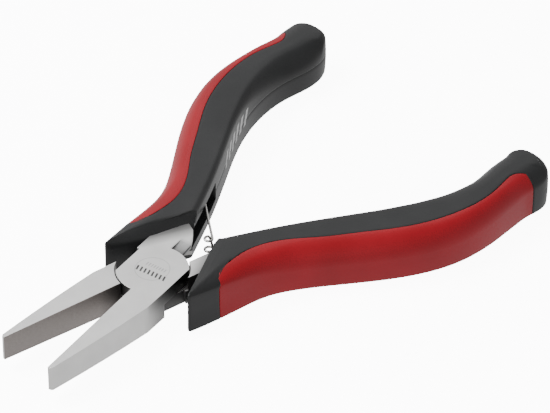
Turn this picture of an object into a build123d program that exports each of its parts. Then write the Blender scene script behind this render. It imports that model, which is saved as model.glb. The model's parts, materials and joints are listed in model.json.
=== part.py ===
from build123d import *
from math import cos, pi, radians, sin
import os

# Flat nose pliers with a lap joint, a wire return spring and two-part grips.
# Millimetres.  +X runs from the pivot to the handles, +Z up, and the origin is
# on the pivot axis at the head's underside.  Both halves are one forging: the
# lower one is the upper one turned half a turn about the X axis, so every shape
# is drawn once, for the half whose jaw lies on -Y and whose handle lies on +Y,
# with the jaws closed and z = 0 at the head's mid-thickness.

# --- driving dimensions -------------------------------------------------------
OVERALL_LENGTH = 117.0        # jaws closed
JAW_LENGTH = 34.5            # pivot axis to jaw tip
HEAD_THICKNESS = 6.4
GRIP_THICKNESS = 9.88
OPEN_ANGLE = 20.34           # between the jaws when the spring holds them open

HALF_HEAD = HEAD_THICKNESS / 2
HALF_GRIP = GRIP_THICKNESS / 2
HALF_OPEN = OPEN_ANGLE / 2

JAW_TIP_WIDTH = 0.98
JAW_ROOT_WIDTH = 6.0
JAW_TIP_HALF_THICKNESS = 2.8
JAW_CLEARANCE = 0.02         # from each gripping face to the closing plane

PLATE_RADIUS = 7.2           # round lap plate
RECESS_RADIUS = 7.5          # pocket that the other half's plate turns in
PLATE_JAW_SIDE = -6.0        # flat on the plate's jaw side
PLATE_FREE_SIDE = 5.7        # flat on the plate's other side
LAP_CLEARANCE = 0.03         # from each lap face to the mid-plane
MILLED_DEPTH = 0.45          # run-out cut behind the plate's raised edge
MILLED_RADIUS = 7.6
MILLED_SLOPE = 3.1
MILLED_SIDE = 0.5            # the cut stays on the handle's inner side of this Y

RIVET_RADIUS = 2.2
RIVET_HEAD_RADIUS = 3.4
RIVET_HEAD_DEPTH = 1.2
RUNNING_CLEARANCE = 0.03

WIRE_DIAMETER = 0.7
COIL_RADIUS = 0.78           # to the wire's centre
COIL_CENTRE_X = 15.5
COIL_HEIGHT = 2.7            # between the two loops
COIL_RISE_ANGLE = 55.0       # half the turn that the wire takes to rise from loop to loop
COIL_POINTS = 34
LEG_ANGLE = 53.0             # direction of the upper leg, from +X
LEG_LENGTH = 12.3
CHANNEL_HEIGHT = 4.4

GRIP_EDGE_RADIUS = 1.0
FRONT_EDGE_RADIUS = 0.5
INSERT_THICKNESS = 1.6
TANG_HALF_THICKNESS = 2.2    # inside the sleeve
TANG_STEP_X = 27.0           # where the tang thins down inside the sleeve


def prism(outline, low, high):
    """Solid between two heights over a closed flat outline."""
    face = make_face(outline.edges())
    return Pos(0, 0, low) * extrude(face, high - low)


def polygon(*points):
    return Polyline(*points, close=True)


def disc(radius, low, high):
    cylinder = Cylinder(radius, high - low, align=(Align.CENTER, Align.CENTER, Align.MIN))
    return Pos(0, 0, low) * cylinder


# --- steel half -----------------------------------------------------------------
def jaw():
    """Tapered flat nose jaw, in plan and in height, up to the pivot."""
    root = (-10.0, -5.92)
    tip = (-JAW_LENGTH, -JAW_TIP_WIDTH)
    corner = 0.35
    outline = Curve() + [
        Line((0, -JAW_CLEARANCE), (-JAW_LENGTH, -JAW_CLEARANCE)),
        Line((-JAW_LENGTH, -JAW_CLEARANCE), (-JAW_LENGTH, tip[1] + corner)),
        Line((-JAW_LENGTH, tip[1] + corner), (-JAW_LENGTH + corner, tip[1])),
        ThreePointArc((-JAW_LENGTH + corner, tip[1]), (-22.0, -3.66), root),
        Line(root, (-4.7, -JAW_ROOT_WIDTH)),
        Line((-4.7, -JAW_ROOT_WIDTH), (0, -JAW_ROOT_WIDTH)),
        Line((0, -JAW_ROOT_WIDTH), (0, -JAW_CLEARANCE)),
    ]
    blank = prism(outline, -HALF_HEAD, HALF_HEAD)
    side = polygon(
        (1, -HALF_HEAD - 0.01),
        (1, HALF_HEAD + 0.01),
        (-9, HALF_HEAD + 0.01),
        (-JAW_LENGTH - 1, JAW_TIP_HALF_THICKNESS),
        (-JAW_LENGTH - 1, -JAW_TIP_HALF_THICKNESS),
        (-9, -HALF_HEAD - 0.01),
    )
    taper = extrude(Plane.XZ * make_face(side.edges()), 10, both=True)
    return blank & taper


def tang_level(inner_start, low, high):
    """One level of the tang: its inner edge starts at the points inner_start."""
    outline = polygon(
        (3.6, 6.25),
        *inner_start,
        (15.6, 2.3),
        (19.1, 3.6),
        (22.7, 4.8),
        (TANG_STEP_X, 6.2),
        (TANG_STEP_X, 11.2),
        (20.0, 9.2),
        (12.0, 7.1),
        (8.2, 6.3),
    )
    return prism(outline, low, high)


def tang_core():
    """Thinner rear part of the tang, wholly inside the sleeve."""
    outline = polygon(
        (TANG_STEP_X - 1, 8.0),
        (TANG_STEP_X, 7.9),
        (45.0, 14.6),
        (60.0, 18.3),
        (60.5, 19.6),
        (57.5, 21.2),
        (45.0, 17.9),
        (TANG_STEP_X - 1, 10.2),
    )
    return prism(outline, -TANG_HALF_THICKNESS, TANG_HALF_THICKNESS)


def lap_plate():
    band = Pos(0, (PLATE_JAW_SIDE + PLATE_FREE_SIDE) / 2, 0) * Box(
        4 * PLATE_RADIUS, PLATE_FREE_SIDE - PLATE_JAW_SIDE, 4 * HEAD_THICKNESS
    )
    return disc(PLATE_RADIUS, LAP_CLEARANCE, HALF_HEAD) & band


def milled_run_out():
    """Ring cut that leaves the plate proud of the tang behind it, with a sloping outer wall."""
    floor = HALF_HEAD - MILLED_DEPTH
    ring = polygon(
        (PLATE_RADIUS, floor),
        (MILLED_RADIUS, floor),
        (MILLED_RADIUS + MILLED_SLOPE, HALF_HEAD + 0.01),
        (PLATE_RADIUS, HALF_HEAD + 0.01),
    )
    turned = revolve(Plane.XZ * make_face(ring.edges()), Axis.Z)
    behind = Pos(12, MILLED_SIDE - 12, 0) * Box(16, 24, 4 * HEAD_THICKNESS)
    return turned & behind


def spring_channel():
    """Channel down the handle's inner side that the coil and leg close into: it opens
    the sleeve's inner wall as a mouth and runs on into the tang behind it."""
    outline = polygon(
        (6.8, -2.9),
        (13.0, -1.5),
        (17.0, -1.5),
        (22.0, 1.2),
        (30.6, 5.4),
        (29.6, 7.2),
        (25.8, 7.3),
        (20.5, 5.8),
        (16.0, 4.6),
        (12.4, 3.2),
        (7.1, -0.9),
    )
    return prism(outline, -CHANNEL_HEIGHT / 2, CHANNEL_HEIGHT / 2)


def rivet(clearance=0.0):
    """Countersunk rivet, flush at both faces, with its walls grown by clearance."""
    head = RIVET_HEAD_RADIUS + clearance
    shaft = RIVET_RADIUS + clearance
    neck = HALF_HEAD - RIVET_HEAD_DEPTH
    profile = polygon(
        (0, -HALF_HEAD), (head, -HALF_HEAD), (shaft, -neck),
        (shaft, neck), (head, HALF_HEAD), (0, HALF_HEAD),
    )
    return revolve(Plane.XZ * make_face(profile.edges()), Axis.Z)


def steel_half(bore_clearance):
    """Jaw, lap plate and tang in one piece."""
    upper_start = [(3.6, -4.4), (6.7, -2.05), (10.2, -2.05), (12.6, -0.8), (14.3, 0.3)]
    lower_start = [(3.6, 2.35), (12.3, 2.35), (14.3, 0.5)]
    upper = tang_level(upper_start, LAP_CLEARANCE, HALF_HEAD) - disc(
        PLATE_RADIUS - 0.6, -HEAD_THICKNESS, HEAD_THICKNESS
    )
    lower = tang_level(lower_start, -HALF_HEAD, LAP_CLEARANCE)
    recess = disc(RECESS_RADIUS, -HEAD_THICKNESS, LAP_CLEARANCE)
    body = (jaw() + upper + lower) - recess
    body = body + lap_plate() + tang_core()
    return body - milled_run_out() - spring_channel() - rivet(bore_clearance)


# --- grip -----------------------------------------------------------------------
FRONT_OUTER = (0.1, 11.9)
FRONT_INNER = (14.7, 0.9)
INNER_EDGE = [
    FRONT_INNER, (28.2, 5.15), (40.5, 9.85), (50.7, 13.4), (59.5, 14.75), (67.5, 14.0), (76.5, 11.9),
]
END_EDGE = [(81.3, 13.4), (OVERALL_LENGTH - JAW_LENGTH, 17.0)]
OUTER_EDGE = [
    (81.8, 21.1), (75.8, 22.9), (66, 25.0), (56, 26.05), (46.5, 24.25), (37.5, 20.5), (28, 15.8),
    (19, 12.6), (9, 12.15), FRONT_OUTER,
]


def grip_outline():
    """Plan of one grip: slanted guard at the front, palm swell, round end."""
    edge = Spline(*INNER_EDGE, *END_EDGE, *OUTER_EDGE)
    return Curve() + [edge, Line(FRONT_OUTER, FRONT_INNER)]


def grip_body():
    """The whole grip before it is split into sleeve and insert."""
    body = prism(grip_outline(), -HALF_GRIP, HALF_GRIP)
    body = fillet(body.edges().filter_by(Axis.Z), FRONT_EDGE_RADIUS)
    rims = body.faces().filter_by(Axis.Z).edges()
    return fillet(rims, GRIP_EDGE_RADIUS)


def insert_region():
    """Plan of the coloured insert: a band down the outer side of the grip."""
    border = Spline(
        (7.5, 12.6), (9.2, 10.4), (12, 9.0), (16.9, 7.6), (22.2, 8.2), (31.3, 12.9),
        (43.4, 18.6), (53.8, 22.0), (62.5, 22.2), (70.3, 20.5), (73.2, 19.6), (75.6, 20.3), (76.8, 22.9),
    )
    outside = Polyline((76.8, 22.9), (76.8, 30), (7.5, 30), (7.5, 12.6))
    return Curve() + [border, outside]


def inset(points, distance):
    """Points moved to the left of the direction that they run in."""
    moved = []
    for before, point, after in zip([points[0], *points], points, [*points[1:], points[-1]]):
        along = (Vector(*after) - Vector(*before)).normalized()
        moved.append((point[0] - along.Y * distance, point[1] + along.X * distance))
    return moved


def insert_bed():
    """Inner block that the insert wraps round on its top, side and bottom."""
    wall = inset(OUTER_EDGE, INSERT_THICKNESS)
    outline = Curve() + [Spline(*wall), Polyline(wall[-1], (wall[-1][0], -5), (wall[0][0], -5), wall[0])]
    bed_half = HALF_GRIP - INSERT_THICKNESS
    return prism(outline, -bed_half, bed_half)


def sleeve_and_insert():
    body = grip_body()
    band = prism(insert_region(), -HALF_GRIP - 1, HALF_GRIP + 1) - insert_bed()
    insert = body & band
    sleeve = body - band - steel_half(0.0) - spring_channel()
    return sleeve, insert


# --- return spring --------------------------------------------------------------
def spring():
    """One wire: a flat loop for each handle, joined by a steep rise, with a straight leg
    off each loop.  The two ends are the same, half a turn about X apart."""
    start = 90 - LEG_ANGLE
    sweep_angle = 720 - 2 * start
    points = []
    for step in range(COIL_POINTS + 1):
        angle = start + sweep_angle * step / COIL_POINTS
        rise = max(-1.0, min(1.0, (angle - 360) / COIL_RISE_ANGLE))
        height = COIL_HEIGHT / 2 * sin(rise * pi / 2)
        turned = radians(angle)
        points.append((COIL_CENTRE_X + COIL_RADIUS * cos(turned), COIL_RADIUS * sin(turned), height))
    along = Vector(cos(radians(LEG_ANGLE)), sin(radians(LEG_ANGLE)), 0)
    back = Vector(-along.X, along.Y, 0)
    coil = Spline(*points, tangents=[back, along])
    leg = Line(coil @ 1, coil @ 1 + along * LEG_LENGTH)
    other_leg = Line(coil @ 0 - back * LEG_LENGTH, coil @ 0)
    path = Wire([other_leg.edges()[0], coil.edges()[0], leg.edges()[0]])
    section = Plane(origin=path @ 0, z_dir=path % 0) * Circle(WIRE_DIAMETER / 2)
    return sweep(section, path, is_frenet=False)


# --- assembly -------------------------------------------------------------------
def upper_side(shape):
    """From the closed drawing to the upper half's place, jaws open."""
    return Pos(0, 0, HALF_HEAD) * Rot(0, 0, HALF_OPEN) * shape


def lower_side(shape):
    """The same, turned over about X for the lower half."""
    return Pos(0, 0, HALF_HEAD) * Rot(180, 0, 0) * Rot(0, 0, HALF_OPEN) * shape


def main():
    sleeve, insert = sleeve_and_insert()
    nodes = {
        "upper_half": upper_side(steel_half(0.0)),
        "lower_half": lower_side(steel_half(RUNNING_CLEARANCE)),
        "pivot_rivet": Pos(0, 0, HALF_HEAD) * rivet(),
        "upper_half_sleeve": upper_side(sleeve),
        "lower_half_sleeve": lower_side(sleeve),
        "upper_half_insert": upper_side(insert),
        "lower_half_insert": lower_side(insert),
        "return_spring": Pos(0, 0, HALF_HEAD) * spring(),
    }
    os.makedirs("parts", exist_ok=True)
    for name, shape in nodes.items():
        export_step(shape, f"parts/{name}.step")


main()
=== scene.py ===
import json
import math

import bmesh
import bpy
import numpy as np
from mathutils import Matrix, Vector
from mathutils.kdtree import KDTree


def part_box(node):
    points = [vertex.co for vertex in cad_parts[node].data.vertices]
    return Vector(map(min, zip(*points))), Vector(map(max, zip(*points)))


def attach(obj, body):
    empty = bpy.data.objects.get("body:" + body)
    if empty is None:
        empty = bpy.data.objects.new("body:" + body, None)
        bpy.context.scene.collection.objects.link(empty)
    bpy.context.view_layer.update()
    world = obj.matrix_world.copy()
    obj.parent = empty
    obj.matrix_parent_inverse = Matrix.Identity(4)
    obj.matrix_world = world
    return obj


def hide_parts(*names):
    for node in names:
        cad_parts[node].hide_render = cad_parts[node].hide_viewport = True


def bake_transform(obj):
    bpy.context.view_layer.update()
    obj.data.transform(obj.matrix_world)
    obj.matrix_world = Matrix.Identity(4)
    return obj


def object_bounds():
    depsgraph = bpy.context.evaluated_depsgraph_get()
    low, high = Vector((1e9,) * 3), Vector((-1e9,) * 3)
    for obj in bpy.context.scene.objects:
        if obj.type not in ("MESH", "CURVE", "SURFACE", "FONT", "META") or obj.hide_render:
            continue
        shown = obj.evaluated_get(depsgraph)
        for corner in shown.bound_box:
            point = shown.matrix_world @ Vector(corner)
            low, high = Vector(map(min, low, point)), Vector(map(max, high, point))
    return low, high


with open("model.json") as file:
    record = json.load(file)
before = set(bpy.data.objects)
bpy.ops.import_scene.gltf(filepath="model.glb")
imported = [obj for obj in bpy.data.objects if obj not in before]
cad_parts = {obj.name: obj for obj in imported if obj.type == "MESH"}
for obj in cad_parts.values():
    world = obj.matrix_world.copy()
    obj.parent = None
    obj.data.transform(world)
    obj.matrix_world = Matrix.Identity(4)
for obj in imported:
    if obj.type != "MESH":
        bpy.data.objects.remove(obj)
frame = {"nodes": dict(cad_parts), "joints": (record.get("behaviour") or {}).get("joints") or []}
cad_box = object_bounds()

# Flat nose pliers.  Lengths below are millimetres in the closed drawing of the half
# whose jaw lies on -Y and whose handle lies on +Y, with z = 0 at the head's
# mid-thickness.  UPPER_PLACE and LOWER_PLACE put a piece where the CAD has it.
MM = 0.001
JOINT = next(j for j in frame["joints"] if j["name"] == "jaws")
HALF_OPEN = math.radians(max(JOINT["range_deg"]) / 2)
RIVET_LOW, RIVET_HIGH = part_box("pivot_rivet")
HEAD_MIDDLE = (RIVET_LOW[2] + RIVET_HIGH[2]) / 2
GRIP_LOW, GRIP_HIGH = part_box("upper_half_sleeve")
GRIP_HALF = (GRIP_HIGH[2] - GRIP_LOW[2]) / 2 / MM
FLOOR_DROP = 0.0001               # keeps the floor clear of the grips' flat undersides
FLOOR_Z = min(cad_box[0][2], GRIP_LOW[2]) - FLOOR_DROP

TO_HEAD = Matrix.Translation((0, 0, HEAD_MIDDLE))
OPENED = Matrix.Rotation(HALF_OPEN, 4, "Z")
TO_METRES = Matrix.Scale(MM, 4)
UPPER_PLACE = TO_HEAD @ OPENED @ TO_METRES
LOWER_PLACE = TO_HEAD @ Matrix.Rotation(math.pi, 4, "X") @ OPENED @ TO_METRES
SIDES = {"upper": UPPER_PLACE, "lower": LOWER_PLACE}


# --- camera, floor and light ------------------------------------------------------
CAMERA_AZIMUTH = math.radians(-45.702)
CAMERA_ELEVATION = math.radians(39.191)
CAMERA_DISTANCE = 0.86934
CAMERA_AIM = Vector((0.02334, -0.01066, 0.01456))
CAMERA_LENS = 290.9
SENSOR_WIDTH = 36
CLIP_END = 10

LIGHT_AIM = (0.02, 0, 0)
LIGHTS = (  # name, place, aim, width, height, power
    ("key", (-0.15, 0.35, 0.55), LIGHT_AIM, 0.35, 0.35, 6.5),
    ("back", (0.44, 0.43, 0.50), LIGHT_AIM, 0.6, 0.6, 0.7),
    ("front", (-0.55, -0.30, 0.35), (0.0, 0, 0), 0.4, 0.3, 1.5),
)
LIGHT_FROM_BELOW = 1.35           # world strength straight below and straight above
LIGHT_FROM_ABOVE = 0.35
FLOOR_SIZE = 6
FLOOR_GLOW = 11.0


def camera():
    data = bpy.data.cameras.new("camera")
    data.lens = CAMERA_LENS
    data.sensor_width = SENSOR_WIDTH
    data.clip_end = CLIP_END
    obj = bpy.data.objects.new("camera", data)
    bpy.context.collection.objects.link(obj)
    level = math.cos(CAMERA_ELEVATION)
    ahead = Vector((
        -math.sin(CAMERA_AZIMUTH) * level,
        math.cos(CAMERA_AZIMUTH) * level,
        -math.sin(CAMERA_ELEVATION),
    ))
    obj.location = CAMERA_AIM - ahead * CAMERA_DISTANCE
    obj.rotation_euler = ahead.to_track_quat("-Z", "Y").to_euler()
    bpy.context.scene.camera = obj


def area_light(name, place, aim, width, height, power):
    data = bpy.data.lights.new(name, "AREA")
    data.shape = "RECTANGLE"
    data.size = width
    data.size_y = height
    data.energy = power
    obj = bpy.data.objects.new(name, data)
    bpy.context.collection.objects.link(obj)
    obj.location = place
    obj.rotation_euler = (Vector(aim) - Vector(place)).to_track_quat("-Z", "Y").to_euler()


def studio():
    """Soft lights, a world that is brighter below, and a white floor that glows for the
    camera only."""
    world = bpy.data.worlds.new("studio")
    bpy.context.scene.world = world
    world.use_nodes = True
    tree = world.node_tree
    background = tree.nodes["Background"]
    place = tree.nodes.new("ShaderNodeTexCoord")
    parts = tree.nodes.new("ShaderNodeSeparateXYZ")
    level = tree.nodes.new("ShaderNodeMapRange")
    level.inputs["From Min"].default_value = -1
    level.inputs["To Min"].default_value = LIGHT_FROM_BELOW
    level.inputs["To Max"].default_value = LIGHT_FROM_ABOVE
    tree.links.new(place.outputs["Generated"], parts.inputs["Vector"])
    tree.links.new(parts.outputs["Z"], level.inputs["Value"])
    tree.links.new(level.outputs["Result"], background.inputs["Strength"])
    background.inputs["Color"].default_value = (1, 1, 1, 1)
    for light in LIGHTS:
        area_light(*light)

    bpy.ops.mesh.primitive_plane_add(size=FLOOR_SIZE, location=(0, 0, FLOOR_Z))
    floor = bpy.context.object
    floor.name = "floor"
    floor.data.materials.append(floor_material())
    floor.visible_diffuse = False
    floor.visible_glossy = False


# --- materials ----------------------------------------------------------------------
# Tones run from low to high.  Places are in the closed drawing, and radii are from the
# rivet's axis.
STEEL_TONES = (0.77, 0.765, 0.755), (0.84, 0.835, 0.825)
# Tones of the gripping face: its coarser grind, darkened as painted shade for the gap between the jaws.
GRIPPING_SHADED_TONES = (0.26, 0.228, 0.215), (0.42, 0.39, 0.375)
GRIPPING_END = -7.6
WIRE_TONES = (0.42, 0.41, 0.40), (0.55, 0.54, 0.52)
BLACK_TONES = (0.013, 0.0133, 0.0138), (0.019, 0.0194, 0.020)
RED_TONES = (0.24, 0.003, 0.008), (0.29, 0.004, 0.011)
FLOOR_TONES = (0.93, 0.93, 0.93), (0.96, 0.96, 0.96)

PLATE_TOP = 3.1                   # the etched marks lie above this z
# The milled run-out behind the plate. Its colour is partly the milled finish and partly painted shade,
# darkest at the plate's edge.
MILLED_START = 7.2
MILLED_END = 10.6
MILLED_SIDE = 0.6                 # the patch stays below this y
MILLED_X = 4.0
MILLED_Z = 2.4
RING_RADIUS = 3.43
RING_HALF_WIDTH = 0.09
# Painted shadow that the guard casts on the steel just in front of it.
GUARD_SHADOW_WAY = (0.589, 0.808)        # straight back from the guard's front
GUARD_SHADOW_OFFSET = -9.4
ETCHED = dict(centre=(-1.2, -0.45), width=7.2, height=1.35, pitch=0.9, duty=0.46, slant=0.25)
FAINT = dict(centre=(0.85, -0.3), width=4.8, height=0.9, pitch=0.6, duty=0.4, slant=0.0)
PRINTED = dict(width=14.4, height=3.3, pitch=2.7, duty=0.48, slant=-0.5)
PRINT_X = 45.8
PRINT_Z = 0.7
PRINT_SIDE = 16.0                 # the print stays below this y
PRINT_TONE = (0.50, 0.50, 0.50)


class Nodes:
    """A material's node tree, with short calls to add and link nodes."""

    def __init__(self, name):
        self.material = bpy.data.materials.new(name)
        self.material.use_nodes = True
        self.tree = self.material.node_tree
        self.shader = self.tree.nodes["Principled BSDF"]

    def add(self, kind, **settings):
        node = self.tree.nodes.new(kind)
        for key, value in settings.items():
            setattr(node, key, value)
        return node

    def link(self, source, target):
        self.tree.links.new(source, target)

    def coordinates(self):
        return self.add("ShaderNodeTexCoord").outputs["Object"]

    def drawn(self, side):
        """Coordinates in millimetres in the side's closed drawing."""
        turn = math.pi if side == "lower" else 0
        lift = HEAD_MIDDLE / MM if side == "lower" else -HEAD_MIDDLE / MM
        mapping = self.add("ShaderNodeMapping")
        mapping.inputs["Scale"].default_value = (1 / MM, 1 / MM, 1 / MM)
        mapping.inputs["Rotation"].default_value = (turn, 0, -HALF_OPEN)
        mapping.inputs["Location"].default_value = (0, 0, lift)
        self.link(self.coordinates(), mapping.inputs["Vector"])
        return mapping.outputs["Vector"]

    def noise(self, vector, scale, detail=3.0, roughness=0.55):
        node = self.add("ShaderNodeTexNoise")
        node.inputs["Scale"].default_value = scale
        node.inputs["Detail"].default_value = detail
        node.inputs["Roughness"].default_value = roughness
        self.link(vector, node.inputs["Vector"])
        return node.outputs["Fac"]

    def ramp(self, value, tones, start=0.3, end=0.7):
        """The first tone up to the start and the second one from the end."""
        node = self.add("ShaderNodeValToRGB")
        for element, position, colour in zip(node.color_ramp.elements, (start, end), tones):
            element.position = position
            element.color = (*colour, 1)
        self.link(value, node.inputs["Fac"])
        return node.outputs["Color"]

    def spread(self, value, low, high, start=0.0, end=1.0):
        node = self.add("ShaderNodeMapRange")
        node.inputs["From Min"].default_value = start
        node.inputs["From Max"].default_value = end
        node.inputs["To Min"].default_value = low
        node.inputs["To Max"].default_value = high
        self.link(value, node.inputs["Value"])
        return node.outputs["Result"]

    def above(self, value, limit, soft):
        return self.spread(value, 0.0, 1.0, limit - soft, limit + soft)

    def below(self, value, limit, soft):
        return self.spread(value, 1.0, 0.0, limit - soft, limit + soft)

    def math(self, operation, *values):
        node = self.add("ShaderNodeMath", operation=operation)
        for value, socket in zip(values, node.inputs):
            if isinstance(value, (int, float)):
                socket.default_value = value
            else:
                self.link(value, socket)
        return node.outputs["Value"]

    def times(self, *values):
        product = values[0]
        for value in values[1:]:
            product = self.math("MULTIPLY", product, value)
        return product

    def either(self, first, second):
        return self.math("MAXIMUM", first, second)

    def near(self, value, centre, reach):
        return self.math("COMPARE", value, centre, reach)

    def parts(self, vector):
        node = self.add("ShaderNodeSeparateXYZ")
        self.link(vector, node.inputs["Vector"])
        return node.outputs

    def length(self, vector):
        node = self.add("ShaderNodeVectorMath", operation="LENGTH")
        self.link(vector, node.inputs[0])
        return node.outputs["Value"]

    def scaled(self, vector, scale):
        node = self.add("ShaderNodeVectorMath", operation="MULTIPLY")
        self.link(vector, node.inputs[0])
        if isinstance(scale, tuple):
            node.inputs[1].default_value = scale
        else:
            self.link(scale, node.inputs[1])
        return node.outputs["Vector"]

    def grey(self, value):
        node = self.add("ShaderNodeCombineColor")
        for socket in node.inputs:
            if isinstance(value, (int, float)):
                socket.default_value = value
            else:
                self.link(value, socket)
        return node.outputs["Color"]

    def mix(self, share, first, second):
        node = self.add("ShaderNodeMix", data_type="RGBA")
        self.link(share, node.inputs["Factor"])
        for name, colour in (("A", first), ("B", second)):
            socket = next(i for i in node.inputs if i.name == name and i.type == "RGBA")
            if isinstance(colour, tuple):
                socket.default_value = (*colour, 1)
            else:
                self.link(colour, socket)
        return next(o for o in node.outputs if o.type == "RGBA")

    def mix_values(self, share, first, second):
        rest = self.math("SUBTRACT", 1, share)
        return self.math("ADD", self.times(first, rest), self.times(second, share))

    def normal_z(self):
        geometry = self.add("ShaderNodeNewGeometry")
        return self.parts(geometry.outputs["Normal"])[2]

    def bars(self, drawn, centre, **sizes):
        """Plain bars in a row along -Y, as a mask in the drawing's XY plane."""
        turn = math.radians(90)
        place = self.add("ShaderNodeMapping")
        place.inputs["Rotation"].default_value = (0, 0, turn)
        moved = Matrix.Rotation(turn, 3, "Z") @ Vector((*centre, 0))
        place.inputs["Location"].default_value = -moved
        self.link(drawn, place.inputs["Vector"])
        u, v, _ = self.parts(place.outputs["Vector"])
        return self.row(u, v, **sizes)

    def row(self, u, v, width, height, pitch, duty, slant):
        """Slanted bars along u, with a duty of each pitch filled."""
        leaning = self.math("MULTIPLY_ADD", v, slant, u)
        step = self.math("FRACT", self.math("MULTIPLY_ADD", leaning, 1 / pitch, 100.0))
        inside = self.times(self.near(leaning, 0, width / 2), self.near(v, 0, height / 2))
        return self.times(self.near(step, 0.5, duty / 2), inside)

    def bump(self, height, strength, distance):
        node = self.add("ShaderNodeBump")
        node.inputs["Strength"].default_value = strength
        node.inputs["Distance"].default_value = distance
        self.link(height, node.inputs["Height"])
        return node.outputs["Normal"]


def floor_material():
    nodes = Nodes("floor_white")
    grain = nodes.noise(nodes.coordinates(), 40.0)
    tone = nodes.ramp(grain, FLOOR_TONES, 0.0, 1.0)
    nodes.link(tone, nodes.shader.inputs["Base Color"])
    nodes.shader.inputs["Roughness"].default_value = 0.9
    nodes.shader.inputs["Specular IOR Level"].default_value = 0.1
    nodes.link(tone, nodes.shader.inputs["Emission Color"])
    nodes.shader.inputs["Emission Strength"].default_value = FLOOR_GLOW
    return nodes.material


def steel_material(side):
    """Satin ground steel: coarser on the gripping face, with painted shade there, a milled run-out
    behind the plate that is in part painted shade, plain etched bars on it, a painted shadow at the
    guard and painted shade on walls near the rivet."""
    nodes = Nodes(f"steel_{side}")
    drawn = nodes.drawn(side)
    lines = nodes.noise(nodes.scaled(drawn, (0.35, 2.2, 1.4)), 5.0, 4.0, 0.6)
    cloud = nodes.noise(drawn, 0.25, 3.0, 0.5)
    colour = nodes.ramp(cloud, STEEL_TONES)

    x, y, z = nodes.parts(drawn)
    # Painted shade: the gripping face is made darker to stand in for the shaded gap between the jaws;
    # its scratches are the real grind.
    gripping = nodes.times(nodes.near(y, 0, 0.06), nodes.below(x, GRIPPING_END, 0.2))
    scratches = nodes.noise(nodes.scaled(drawn, (0.5, 1, 6.0)), 3.0, 5.0, 0.7)
    grip_shaded_tone = nodes.ramp(scratches, GRIPPING_SHADED_TONES, 0.35, 0.65)
    colour = nodes.mix(gripping, colour, grip_shaded_tone)

    radius = nodes.length(nodes.scaled(drawn, (1, 1, 0)))
    milled = nodes.times(
        nodes.above(radius, MILLED_START, 0.08),
        nodes.below(radius, MILLED_END, 0.5),
        nodes.below(y, MILLED_SIDE, 0.25),
        nodes.above(z, MILLED_Z, 0.2),
        nodes.above(x, MILLED_X, 0.2),
    )
    # Painted shade of the milled recess, darkest at the plate's edge and lighter further back, with a
    # mottle of the milled finish.
    recess_shade = nodes.spread(radius, 0.16, 0.5, MILLED_START, 10.4)
    mottle = nodes.noise(drawn, 1.1, 4.0, 0.6)
    milled_shade_tone = nodes.grey(nodes.times(recess_shade, nodes.spread(mottle, 0.75, 1.1)))
    colour = nodes.mix(milled, colour, milled_shade_tone)

    on_plate = nodes.above(z, PLATE_TOP, 0.02)
    marks = nodes.either(nodes.bars(drawn, **ETCHED), nodes.times(nodes.bars(drawn, **FAINT), 0.4))
    colour = nodes.mix(nodes.times(marks, on_plate), colour, nodes.grey(0.10))
    ring = nodes.times(nodes.near(radius, RING_RADIUS, RING_HALF_WIDTH), on_plate, 0.25)
    colour = nodes.mix(ring, colour, nodes.grey(0.1))

    # Painted shadow: the steel is darker just in front of the guard, where the guard shades it.
    back = nodes.math("MULTIPLY_ADD", y, GUARD_SHADOW_WAY[1], GUARD_SHADOW_OFFSET)
    behind = nodes.math("ADD", nodes.times(x, GUARD_SHADOW_WAY[0]), back)
    guard_shadow = nodes.times(nodes.above(behind, -1.3, 1.4), nodes.above(x, 2.0, 1.5), 0.75)
    colour = nodes.mix(guard_shadow, colour, nodes.grey(0.08))

    # Painted shade on the upright walls, darkest near the rivet where the other parts block the light.
    wall = nodes.below(nodes.math("ABSOLUTE", nodes.normal_z()), 0.6, 0.2)
    shade = nodes.spread(radius, 0.10, 0.80, 6.5, 12.5)
    colour = nodes.mix(wall, colour, nodes.scaled(colour, shade))

    nodes.link(colour, nodes.shader.inputs["Base Color"])
    roughness = nodes.mix_values(
        gripping, nodes.spread(lines, 0.30, 0.44), nodes.spread(scratches, 0.40, 0.55)
    )
    nodes.link(roughness, nodes.shader.inputs["Roughness"])
    nodes.shader.inputs["Metallic"].default_value = 1.0
    nodes.link(nodes.bump(lines, 0.12, 0.00002), nodes.shader.inputs["Normal"])
    return nodes.material


def wire_material():
    nodes = Nodes("spring_wire")
    lines = nodes.noise(nodes.coordinates(), 900.0, 3.0, 0.6)
    colour = nodes.ramp(lines, WIRE_TONES)
    nodes.link(colour, nodes.shader.inputs["Base Color"])
    nodes.link(nodes.spread(lines, 0.2, 0.34), nodes.shader.inputs["Roughness"])
    nodes.shader.inputs["Metallic"].default_value = 1.0
    nodes.link(nodes.bump(lines, 0.1, 0.00001), nodes.shader.inputs["Normal"])
    return nodes.material


def plastic_material(name, side, tones, printed):
    """Moulded plastic with a fine spark-eroded grain, slight unevenness of tone and, where
    printed, a row of plain slanted bars on the handle's inner side."""
    nodes = Nodes(name)
    drawn = nodes.drawn(side)
    grain = nodes.noise(drawn, 3.5, 2.0, 0.5)
    cloud = nodes.noise(drawn, 0.09, 3.0, 0.5)
    colour = nodes.ramp(cloud, tones)
    if printed:
        x, y, z = nodes.parts(drawn)
        over = nodes.math("ADD", z, -PRINT_Z)
        along = nodes.math("ADD", x, -PRINT_X)
        marks = nodes.times(nodes.row(along, over, **PRINTED), nodes.below(y, PRINT_SIDE, 0.5))
        colour = nodes.mix(marks, colour, PRINT_TONE)
    nodes.link(colour, nodes.shader.inputs["Base Color"])
    nodes.link(nodes.spread(cloud, 0.33, 0.42), nodes.shader.inputs["Roughness"])
    nodes.shader.inputs["IOR"].default_value = 1.5
    nodes.shader.inputs["Specular IOR Level"].default_value = 0.28
    nodes.link(nodes.bump(grain, 0.25, 0.00003), nodes.shader.inputs["Normal"])
    return nodes.material


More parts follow.
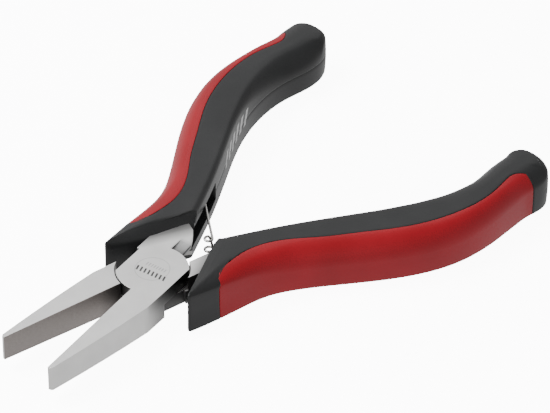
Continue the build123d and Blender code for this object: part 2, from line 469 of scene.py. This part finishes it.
# --- curves in plan -------------------------------------------------------------------
CURVE_POINTS = 4000


def lengths(line):
    """Distance along a line of points, from its start to each of them."""
    return np.concatenate([[0], np.cumsum(np.linalg.norm(np.diff(line, axis=0), axis=1))])


def sample(line, places):
    """Points of the line at the given distances along it."""
    along = lengths(line)
    return np.column_stack([np.interp(places, along, line[:, k]) for k in range(line.shape[1])])


def even(line, count):
    return sample(line, np.linspace(0, lengths(line)[-1], count))


def smooth(points):
    """A dense natural cubic spline through the given points."""
    points = np.array(points, float)
    chord = lengths(points)
    gaps = np.diff(chord)
    n = len(points)
    matrix = np.zeros((n, n))
    right = np.zeros((n, 2))
    matrix[0, 0] = matrix[-1, -1] = 1
    for i in range(1, n - 1):
        matrix[i, i - 1:i + 2] = gaps[i - 1], 2 * (gaps[i - 1] + gaps[i]), gaps[i]
        after, before = points[i + 1] - points[i], points[i] - points[i - 1]
        right[i] = 6 * (after / gaps[i] - before / gaps[i - 1])
    bend = np.linalg.solve(matrix, right)
    places = np.linspace(0, chord[-1], CURVE_POINTS)
    i = np.clip(np.searchsorted(chord, places) - 1, 0, n - 2)
    h = gaps[i][:, None]
    a = (chord[i + 1] - places)[:, None] / h
    b = 1 - a
    curve = a * points[i] + b * points[i + 1]
    return curve + ((a ** 3 - a) * bend[i] + (b ** 3 - b) * bend[i + 1]) * h ** 2 / 6


def nearest(line, point):
    return int(np.argmin(np.hypot(*(line - np.array(point)).T)))


def relax(values, rounds):
    """Rounds a closed list off by averaging each item with its neighbours."""
    for _ in range(rounds):
        values = 0.5 * values + 0.25 * (np.roll(values, 1, axis=0) + np.roll(values, -1, axis=0))
    return values


def outward(line):
    """Unit normals of an anticlockwise closed outline."""
    along = np.roll(line, -1, axis=0) - np.roll(line, 1, axis=0)
    normal = np.column_stack([along[:, 1], -along[:, 0]])
    return normal / np.linalg.norm(normal, axis=1)[:, None]


# --- grip -----------------------------------------------------------------------------
FRONT_INNER = (14.7, 0.9)
FRONT_OUTER = (-0.4, 11.9)
FRONT_ROUND = (0.9, 0.4)          # corner radius at the inner and the outer end
EDGE = [
    FRONT_INNER, (28.2, 5.15), (40.5, 9.85), (50.7, 13.4), (59.5, 14.75), (67.5, 14.0), (76.5, 11.9),
    (81.3, 13.4), (82.5, 17.0), (81.8, 21.1), (75.8, 22.9), (66, 25.0), (56, 26.05), (46.5, 24.25),
    (37.5, 20.5), (28, 15.8), (19, 12.6), (9, 12.15), FRONT_OUTER,
]
INNER_END = (78.3, 12.1)          # the rear end runs from here
OUTER_START = (80.3, 21.9)        # to here
BORDER = [                        # of the insert, from its front to its rear
    (8.7, 9.9), (10.3, 9.1), (12.5, 8.5), (16.9, 7.7), (22.2, 8.3), (26.3, 10.0), (31.3, 12.8),
    (38.1, 16.0), (43.4, 18.5), (48.5, 20.5), (54, 21.8), (60, 22.3), (66.9, 21.5), (71.5, 19.9),
    (74.2, 19.3),
]
INSERT_FRONT = (7.5, 12.1)
INSERT_REAR = (76.8, 22.6)
GRIP_CENTRE = (45, 14, 0)
INSERT_DEPTH = 0.85
BED_GAP = 0.02
GROOVE = 0.22                     # radius of the round where sleeve and insert meet
GROOVE_ROWS = (0.06, 0.13, 0.22)
SEAM_ROWS = (0.25, 0.07, 0.0, -0.07, -0.25)  # heights of the mould's parting line
SEAM_DEPTH = 0.07
SEAM_REACH = 0.2

# Each pair of lists gives x along an edge, and the top's rounding radius or fall there.
INNER_TOP = ([0, 42, 50, 58, 67, 80], [1.2, 1.2, 1.5, 2.3, 3.0, 2.6])
OUTER_TOP = ([0, 4, 14, 26, 50, 55, 61, 67, 72, 80], [0.6, 0.7, 1.9, 3.5, 3.5, 3.2, 3.0, 2.8, 2.5, 2.0])
INNER_CROWN = ([56, 64, 70, 75, 79, 81], [0, 0.8, 2.2, 1.8, 0.3, 0.0])
OUTER_CROWN = (
    [0, 4, 12, 18, 26, 44, 54, 70, 76, 81, 82.5],
    [0.8, 1.1, 1.4, 1.4, 1.4, 1.2, 0.3, 0.3, 1.9, 1.7, 0.6],
)
CROWN_REACH = 4.6
END_TOP = 1.3
FRONT_TOP = 0.45
UNDERSIDE = 0.65
UNDERSIDE_FRONT = ([0, 12], [0.5, UNDERSIDE])
DROP_RADII = [1.5, 2.5]           # larger rounds than these are taller than they are wide
DROP_SHARE = 1.4
DROP_LIMIT = 4.4

# How far the side bulges in its middle, waists behind the grip and splays at the guard.
INNER_SWELL = 0.1
END_SWELL = 0.25
OUTER_SWELL = ([3, 17], [0, 0.15])
FLARE = ([0, 4, 12, 19], [0.3, 0.4, 0.35, 0])
DIP = 0.18
DIP_X = 75.3
DIP_WIDTH = 2.2

# The top leans to the rear round the insert's front end.
LEAN = 0.75
LEAN_SPREAD = 6
LEAN_START = 0.55                 # share of the half-height
LEAN_RISE = 0.2

# The upper guard's front leans back above the lap plate: by how much at the plate and at
# the top, along the front from its outer end to its inner end.
SWEEP_WAY = (0.196, 0.981)
SWEEP_HEIGHTS = [2.3, 3.2, 4.6]
SWEEP_BASE = ([0, 0.25, 0.6, 1], [0, 0, 0.4, 1.7])
SWEEP_EDGE = ([0, 0.1, 0.3, 0.65, 1], [0.2, 0.8, 1.5, 2.4, 2.7])
SWEEP_FADE = 1.15

END_COUNT = 40
OUTER_COUNT = 196
ACROSS_STEPS = 16
ROUND_STEPS = 8
SIDE_STEPS = 5
INSERT_STEPS = 8
OUTLINE_ROUNDS = 6                # passes that even out the values along the outline
CROWN_ROUNDS = 12
UNTANGLE_ROUNDS = 80
FOLDED = 0.002                    # faces under this area, or turned over, are folded
CAP_MARGIN = 0.00001

MOUTH = [                         # opening for the spring's leg, in plan
    (12.0, -1.5), (17.0, -1.5), (22.0, 1.2), (30.4, 5.3), (29.5, 6.9), (25.8, 7.0), (20.6, 5.55),
    (16.1, 4.35), (11.7, 2.7),
]
MOUTH_HALF = 2.08
SHARP_ANGLE = 38


class Outline:
    """Plan of the grip, anticlockwise from its front inner corner, with the place of the
    insert's ends and the rounding, swell and seam at each point."""

    def __init__(self):
        edge = smooth(EDGE)
        first, second = nearest(edge, INNER_END), nearest(edge, OUTER_START)
        outer = self.outer_part(edge[second:])
        inner = even(edge[:first + 1], len(outer) - 1)
        end = even(edge[first:second + 1], END_COUNT)
        front = even(np.array([FRONT_OUTER, FRONT_INNER], float), ACROSS_STEPS + 1)
        self.line = np.concatenate([inner[:-1], end[:-1], outer[:-1], front[:-1]])
        self.apex = len(inner) - 1 + END_COUNT // 2
        self.corner = len(inner) + END_COUNT + len(outer) - 3
        self.round_corner(0, FRONT_ROUND[0])
        self.round_corner(self.corner, FRONT_ROUND[1])
        self.rear = nearest(self.line, INSERT_REAR)
        self.front = nearest(self.line, INSERT_FRONT)

        sections = [len(inner) - 1, END_COUNT - 1, len(outer) - 1, len(front) - 1]
        kind = np.repeat([0, 1, 2, 3], sections)
        x = self.line[:, 0]

        def along(inner, end, outer, front):
            return relax(np.choose(kind, [inner, end, outer, front])[:, None], OUTLINE_ROUNDS)[:, 0]

        self.top = along(np.interp(x, *INNER_TOP), END_TOP, np.interp(x, *OUTER_TOP), FRONT_TOP)
        self.under = along(UNDERSIDE, UNDERSIDE, np.interp(x, *UNDERSIDE_FRONT), FRONT_TOP)
        self.swell = along(INNER_SWELL, END_SWELL, np.interp(x, *OUTER_SWELL), 0)
        self.dip = along(0, 0, DIP * np.exp(-((x - DIP_X) / DIP_WIDTH) ** 2), 0)
        self.flare = along(0, 0, np.interp(x, *FLARE), 0)
        self.seam = along(SEAM_DEPTH, SEAM_DEPTH, 0, 0)
        self.drop = self.top * np.interp(self.top, DROP_RADII, [1, DROP_SHARE])
        self.drop = np.minimum(self.drop, DROP_LIMIT)

    def round_corner(self, corner, radius):
        """Moves the points beside a corner onto an arc that rounds it off."""
        point = self.line[corner].copy()
        count = len(self.line)
        before, after = (self.line[(corner + step) % count] - point for step in (-4, 4))
        before, after = before / np.linalg.norm(before), after / np.linalg.norm(after)
        half = math.acos(float(np.clip(before @ after, -1, 1))) / 2
        reach = radius / math.tan(half)
        inward = (before + after) / np.linalg.norm(before + after)
        centre = point + inward * radius / math.sin(half)
        for side, along in ((-1, before), (1, after)):
            across = along - inward * (along @ inward)
            across /= np.linalg.norm(across)
            for step in range(0 if side == 1 else 1, 40):
                place = (corner + side * step) % count
                share = np.linalg.norm(self.line[place] - point) / reach if step else 0
                if share < 1:
                    angle = share * (math.pi / 2 - half)
                    spoke = across * math.sin(angle) - inward * math.cos(angle)
                    self.line[place] = centre + radius * spoke

    @staticmethod
    def outer_part(edge):
        """Even points with closer ones each side of the insert's two ends."""
        along = lengths(edge)
        places = np.linspace(0, along[-1], OUTER_COUNT)
        for end in (INSERT_REAR, INSERT_FRONT):
            centre = along[nearest(edge, end)]
            places = places[abs(places - centre) > 1.5 * GROOVE]
            near = [centre + side * row for row in GROOVE_ROWS for side in (-1, 1)]
            places = np.concatenate([places, [centre], near])
        return sample(edge, np.sort(places))

    def rings(self):
        """Rings of points from the top cap's edge round the side to the bottom cap's edge."""
        normal = outward(self.line)
        rings = []

        def ring(z, inset):
            bulge = np.where(z > 0, self.swell, self.swell - self.flare)
            inset = inset + bulge * (z / GRIP_HALF) ** 2 + self.dip
            rings.append(np.column_stack([self.line - normal * inset[:, None], z]))

        angles = np.linspace(math.pi / 2, 0, ROUND_STEPS + 1)
        for angle in angles:
            ring(GRIP_HALF - self.drop * (1 - math.sin(angle)), self.top * (1 - math.cos(angle)))
        upper = GRIP_HALF - self.drop
        for share in np.linspace(0, 1, SIDE_STEPS)[1:-1]:
            ring(upper + (SEAM_ROWS[0] - upper) * share, 0 * upper)
        for z in SEAM_ROWS:
            ring(np.full(len(upper), z), self.seam * max(0, 1 - abs(z) / SEAM_REACH))
        lower = self.under - GRIP_HALF
        for share in np.linspace(0, 1, SIDE_STEPS + 2)[1:-1]:
            ring(SEAM_ROWS[-1] + (lower - SEAM_ROWS[-1]) * share, 0 * lower)
        for angle in angles[::-1]:
            ring(self.under * (1 - math.sin(angle)) - GRIP_HALF, self.under * (1 - math.cos(angle)))
        return rings


class Surface:
    """Faces over vertices that are shared by position."""

    def __init__(self):
        self.points = []
        self.index = {}
        self.faces = []

    def vertex(self, point):
        key = tuple(round(float(c), 4) for c in point)
        if key not in self.index:
            self.index[key] = len(self.points)
            self.points.append([float(c) for c in point])
        return self.index[key]

    def face(self, *points):
        corners = list(dict.fromkeys(self.vertex(point) for point in points))
        if len(corners) > 2:
            self.faces.append(corners)

    def grid(self, rows):
        """Four-cornered faces between neighbouring rows of points."""
        for first, second in zip(rows, rows[1:]):
            for k in range(len(first) - 1):
                self.face(first[k], first[k + 1], second[k + 1], second[k])


def across(first, second, steps, crowd_first=False, crowd_second=False):
    """Rows of points from the first line to the second, crowded at the ends asked for."""
    rows = [[] for _ in range(steps + 1)]
    for a, b in zip(first, second):
        gap = np.linalg.norm(b - a)
        reach = min(1.0, gap / 1.2)
        close = [row * reach for row in GROOVE_ROWS]
        low = [0, *close] if crowd_first else [0]
        high = [gap - c for c in close[::-1]] + [gap] if crowd_second else [gap]
        between = np.linspace(low[-1], high[0], steps + 3 - len(low) - len(high))
        places = low + list(between[1:-1]) + high
        for row, place in zip(rows, places):
            row.append(a + (b - a) * (place / gap if gap > 1e-6 else 0))
    return rows


def grip_skins():
    """The sleeve's and the insert's outer skins, and the line where they meet."""
    plan = Outline()
    rings = plan.rings()
    total = len(plan.line)
    sleeve, insert = Surface(), Surface()
    rear, front, apex, corner = plan.rear, plan.front, plan.apex, plan.corner
    insert.grid([ring[rear:front + 1] for ring in rings])
    rest = np.arange(front, total + rear + 1) % total
    sleeve.grid([ring[rest] for ring in rings])

    meeting = [ring[[front, rear]] for ring in rings]
    for ring in (rings[0], rings[-1]):
        z = ring[0][2]
        line = smooth([ring[front][:2], *BORDER, ring[rear][:2]])
        border = np.column_stack([even(line, front - rear + 1), np.full(front - rear + 1, z)])
        border[0], border[-1] = ring[front], ring[rear]
        meeting.append(border)
        outer = ring[rear:front + 1][::-1]
        insert.grid(across(border, outer, INSERT_STEPS, crowd_first=True))

        far = np.concatenate([ring[front + 1:corner + 1][::-1], border, ring[apex:rear][::-1]])
        rows = across(ring[:apex + 1], far, ACROSS_STEPS, crowd_second=True)
        front_line = [ring[0], *ring[corner:][::-1]]
        for row, point in zip(rows, front_line):
            row[0] = point
        sleeve.grid(rows)
    untangle(sleeve)
    untangle(insert)
    return sleeve, insert, np.concatenate(meeting), plan.line


def crowned(points, line):
    """Points above the middle, lowered towards the plan's edge where the top is crowned."""
    tree = KDTree(len(line))
    for place, (x, y) in enumerate(line):
        tree.insert((x, y, 0), place)
    tree.balance()
    fall = np.where(
        np.arange(len(line)) < len(line) // 2,
        np.interp(line[:, 0], *INNER_CROWN), np.interp(line[:, 0], *OUTER_CROWN),
    )
    fall[-ACROSS_STEPS:] *= np.linspace(1, 0, ACROSS_STEPS)
    fall = relax(fall[:, None], CROWN_ROUNDS)[:, 0]
    moved = []
    for x, y, z in points:
        place, away = tree.find((x, y, 0))[1:]
        share = max(0, 1 - away / CROWN_REACH) ** 2 * max(0, z / GRIP_HALF) ** 2
        squared = (x - INSERT_FRONT[0]) ** 2 + (y - INSERT_FRONT[1]) ** 2
        beside = math.exp(-squared / LEAN_SPREAD)
        lean = LEAN * beside * max(0, z / GRIP_HALF - LEAN_START) ** 2 / LEAN_RISE
        moved.append((x + lean, y, z - fall[place] * share))
    return moved


def swept_back(x, y, z):
    """The point moved back where the upper grip's guard stands back above the lap plate."""
    front = np.subtract(FRONT_INNER, FRONT_OUTER)
    width = np.linalg.norm(front)
    offset = np.subtract((x, y), FRONT_OUTER)
    share = offset @ front / width ** 2
    behind = max(0.0, (offset[0] * -front[1] + offset[1] * front[0]) / width)
    base, edge = np.interp(share, *SWEEP_BASE), np.interp(share, *SWEEP_EDGE)
    step = float(np.interp(z, SWEEP_HEIGHTS, [0, base, edge]))
    fade = max(0.0, 1 - behind / (SWEEP_FADE * step)) if step > 0 else 0.0
    return x + SWEEP_WAY[0] * step * fade, y + SWEEP_WAY[1] * step * fade, z


def on_cap(z):
    """True at the height of the grip's flat top or flat underside."""
    return abs(z) > GRIP_HALF - CAP_MARGIN


def untangle(surface):
    """Evens out the flat caps where the rows between their edges fold over each other."""
    points = np.array(surface.points)
    flat = on_cap(points[:, 2])
    faces = [face for face in surface.faces if flat[face].all()]
    fixed = {vertex for edge in rim_edges(faces) for vertex in edge}
    around = {}
    for face in faces:
        for k, vertex in enumerate(face):
            around.setdefault(vertex, set()).update((face[k - 1], face[(k + 1) % len(face)]))

    def area(face):
        x, y = points[face, 0], points[face, 1]
        return float(np.dot(x, np.roll(y, -1)) - np.dot(y, np.roll(x, -1))) / 2

    sign = 1 if sum(area(face) for face in faces) > 0 else -1
    for _ in range(UNTANGLE_ROUNDS):
        folded = {vertex for face in faces if sign * area(face) < FOLDED for vertex in face}
        for vertex in folded - fixed:
            points[vertex] = points[list(around[vertex])].mean(axis=0)
    surface.points = points.tolist()


def mesh_of(points, faces):
    mesh = bpy.data.meshes.new("shape")
    mesh.from_pydata([tuple(point) for point in points], [], faces)
    return mesh


def wound(points, faces):
    """The shape for editing, with its faces all wound the same way."""
    shape = bmesh.new()
    shape.from_mesh(mesh_of(points, faces))
    bmesh.ops.recalc_face_normals(shape, faces=shape.faces)
    return shape


def closed_mesh(points, faces):
    """A mesh of a closed shape, with its faces turned outward."""
    mesh = bpy.data.meshes.new("shape")
    shape = wound(points, faces)
    shape.to_mesh(mesh)
    shape.free()
    return mesh


def vertex_normals(surface, centre):
    """Unit normals of an open skin, turned away from the centre, and upright on the caps."""
    shape = wound(surface.points, surface.faces)
    shape.normal_update()
    normals = np.array([vertex.normal for vertex in shape.verts])
    total = sum(
        face.normal.dot(face.calc_center_median() - centre) * face.calc_area()
        for face in shape.faces
    )
    shape.free()
    normals = normals if total > 0 else -normals
    for normal, point in zip(normals, surface.points):
        if on_cap(point[2]):
            normal[:] = (0, 0, math.copysign(1, point[2]))
    return normals


def grooved(surface, normals, meeting):
    """The skin's points with a quarter round along the line where the skins meet."""
    tree = KDTree(len(meeting))
    for place, point in enumerate(meeting):
        tree.insert(point, place)
    tree.balance()
    moved = []
    for point, normal in zip(np.array(surface.points), normals):
        away = min(tree.find(point)[2] / GROOVE, 1)
        depth = GROOVE * (1 - math.sqrt(1 - (1 - away) ** 2))
        moved.append(point - normal * depth)
    return moved


def rim_edges(faces):
    """Directed edges that only one face uses."""
    edges = {(face[k - 1], face[k]) for face in faces for k in range(len(face))}
    return [edge for edge in edges if edge[::-1] not in edges]


def directed(surface):
    """Faces of an open skin, all wound the same way."""
    shape = wound(surface.points, surface.faces)
    faces = [[vertex.index for vertex in face.verts] for face in shape.faces]
    shape.free()
    return faces


def grip_shapes():
    """Points and faces of the closed sleeve and the closed insert."""
    sleeve, insert, meeting, line = grip_skins()
    centre = Vector(GRIP_CENTRE)
    insert_normals = vertex_normals(insert, centre)
    sleeve_normals = vertex_normals(sleeve, centre)
    insert_faces = directed(insert)
    rim = rim_edges(insert_faces)
    skin = grooved(insert, insert_normals, meeting)
    inner = list(np.array(insert.points) - insert_normals * INSERT_DEPTH)
    count = len(skin)
    walls = [[b, a, a + count, b + count] for a, b in rim]
    inner_faces = [[k + count for k in face[::-1]] for face in insert_faces]
    insert_shape = (crowned(skin + inner, line), insert_faces + walls + inner_faces)

    skin = grooved(sleeve, sleeve_normals, meeting)
    bed = list(np.array(insert.points) - insert_normals * (INSERT_DEPTH + BED_GAP))
    count = len(skin)
    shared = insert.index.keys() & sleeve.index.keys()
    on_sleeve = {insert.index[key]: sleeve.index[key] for key in shared}
    walls = [[on_sleeve[a], on_sleeve[b], b + count, a + count] for a, b in rim]
    bed_faces = [[k + count for k in face] for face in insert_faces]
    sleeve_shape = (crowned(skin + bed, line), directed(sleeve) + walls + bed_faces)
    return sleeve_shape, insert_shape


def placed(name, points, faces, place, flip, material):
    """A smooth object from closed-drawing points."""
    mesh = closed_mesh([(x, y, -z if flip else z) for x, y, z in points], faces)
    mesh.name = name
    mesh.transform(place)
    for polygon in mesh.polygons:
        polygon.use_smooth = True
    mesh.set_sharp_from_angle(angle=math.radians(SHARP_ANGLE))
    mesh.materials.append(material)
    obj = bpy.data.objects.new(name, mesh)
    bpy.context.collection.objects.link(obj)
    return obj


def cut_mouth(points, faces):
    """The sleeve with the mouth that the spring's leg closes into."""
    body = bpy.data.objects.new("uncut", closed_mesh(points, faces))
    count = len(MOUTH)
    corners = [(x, y, z) for z in (-MOUTH_HALF, MOUTH_HALF) for x, y in MOUTH]
    sides = [[k, (k + 1) % count, (k + 1) % count + count, k + count] for k in range(count)]
    ends = [list(range(count))[::-1], list(range(count, 2 * count))]
    tool = bpy.data.objects.new("mouth", mesh_of(corners, sides + ends))
    for obj in (body, tool):
        bpy.context.collection.objects.link(obj)
    cut = body.modifiers.new("mouth", "BOOLEAN")
    cut.operation = "DIFFERENCE"
    cut.solver = "EXACT"
    cut.object = tool
    bpy.context.view_layer.update()
    depsgraph = bpy.context.evaluated_depsgraph_get()
    result = bpy.data.meshes.new_from_object(body.evaluated_get(depsgraph))
    points = [tuple(vertex.co) for vertex in result.vertices]
    faces = [list(face.vertices) for face in result.polygons]
    bpy.data.objects.remove(body)
    bpy.data.objects.remove(tool)
    return points, faces


# --- spring ---------------------------------------------------------------------------
COIL_CENTRE = 15.5
COIL_RADIUS = 0.78
LOOP_HEIGHT = 1.35                # of each of the two loops from the middle
RISE_ANGLE = 55                   # half the turn that the wire takes between the loops
LEG_ANGLE = 53
LEG_LENGTH = 12.2
WIRE_RADIUS = 0.27
WIRE_TIP = 0.6                    # share of the radius at the wire's two ends
SPRING_LIFT = 0.3
WIRE_SIDES = 14
COIL_STEPS = 160
LEG_STEPS = 40


def spring_path():
    """The wire's middle line from the end of one leg to the end of the other."""
    start = 90 - LEG_ANGLE
    coil = []
    for angle in np.linspace(start, 720 - start, COIL_STEPS):
        rise = np.clip((angle - 360) / RISE_ANGLE, -1, 1)
        turned = math.radians(angle)
        coil.append((
            COIL_CENTRE + COIL_RADIUS * math.cos(turned),
            COIL_RADIUS * math.sin(turned),
            LOOP_HEIGHT * math.sin(rise * math.pi / 2) + SPRING_LIFT,
        ))
    coil = np.array(coil)
    along = np.array([math.cos(math.radians(LEG_ANGLE)), math.sin(math.radians(LEG_ANGLE)), 0])
    reach = np.linspace(0, LEG_LENGTH, LEG_STEPS)[1:, None]
    leg = coil[-1] + along * reach
    other = coil[0] + along * (1, -1, 1) * reach
    return np.concatenate([other[::-1], coil, leg])


def spring_shape():
    """A tube round the path, narrower at its two tips."""
    path = spring_path()
    along = np.gradient(path, axis=0)
    along /= np.linalg.norm(along, axis=1)[:, None]
    side = np.cross(along[0], (0, 0, 1))
    rings, radii = [], np.full(len(path), WIRE_RADIUS)
    radii[[0, -1]] *= WIRE_TIP
    angles = np.linspace(0, 2 * math.pi, WIRE_SIDES, endpoint=False)
    for centre, forward, radius in zip(path, along, radii):
        side = side - forward * np.dot(side, forward)
        side /= np.linalg.norm(side)
        up = np.cross(forward, side)
        rings.append([centre + radius * (side * math.cos(a) + up * math.sin(a)) for a in angles])
    points = [point for ring in rings for point in ring]
    faces = [list(range(WIRE_SIDES))[::-1], list(range(len(points) - WIRE_SIDES, len(points)))]
    for row in range(len(rings) - 1):
        for k in range(WIRE_SIDES):
            first, second = row * WIRE_SIDES, (row + 1) * WIRE_SIDES
            after = (k + 1) % WIRE_SIDES
            faces.append([first + k, first + after, second + after, second + k])
    return points, faces


# --- assembly -------------------------------------------------------------------------
EDGE_WIDTH = 0.12 * MM
EDGE_ANGLE = 28
WELD_DISTANCE = 0.000002


def ease(obj):
    """Breaks a CAD piece's edges by a small round."""
    weld = obj.modifiers.new("weld", "WELD")
    weld.merge_threshold = WELD_DISTANCE
    bevel = obj.modifiers.new("edges", "BEVEL")
    bevel.width = EDGE_WIDTH
    bevel.segments = 2
    bevel.limit_method = "ANGLE"
    bevel.angle_limit = math.radians(EDGE_ANGLE)
    bevel.harden_normals = False
    shading = obj.modifiers.new("shading", "WEIGHTED_NORMAL")
    shading.keep_sharp = False


def paint(obj, material):
    obj.data.materials.clear()
    obj.data.materials.append(material)


def main():
    camera()
    studio()
    steel = {side: steel_material(side) for side in SIDES}
    paint(frame["nodes"]["pivot_rivet"], steel["upper"])
    for side in SIDES:
        paint(frame["nodes"][f"{side}_half"], steel[side])
        ease(frame["nodes"][f"{side}_half"])

    spring = placed("spring_wire", *spring_shape(), TO_HEAD @ TO_METRES, False, wire_material())
    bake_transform(spring)
    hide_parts("return_spring")

    sleeve, insert = grip_shapes()
    sleeve = cut_mouth(*sleeve)
    for side, place in SIDES.items():
        black = plastic_material(f"black_{side}", side, BLACK_TONES, printed=side == "upper")
        red = plastic_material(f"red_{side}", side, RED_TONES, printed=False)
        for part, (points, faces), material, slot in (
            ("sleeve", sleeve, black, "black_plastic"),
            ("insert", insert, red, "red_insert"),
        ):
            if side == "upper":
                points = [swept_back(*point) for point in points]
            name = f"{side}_{part}_moulding"
            piece = placed(name, points, faces, place, side == "lower", material)
            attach(piece, side)
            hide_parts(f"{side}_half_{part}")


main()
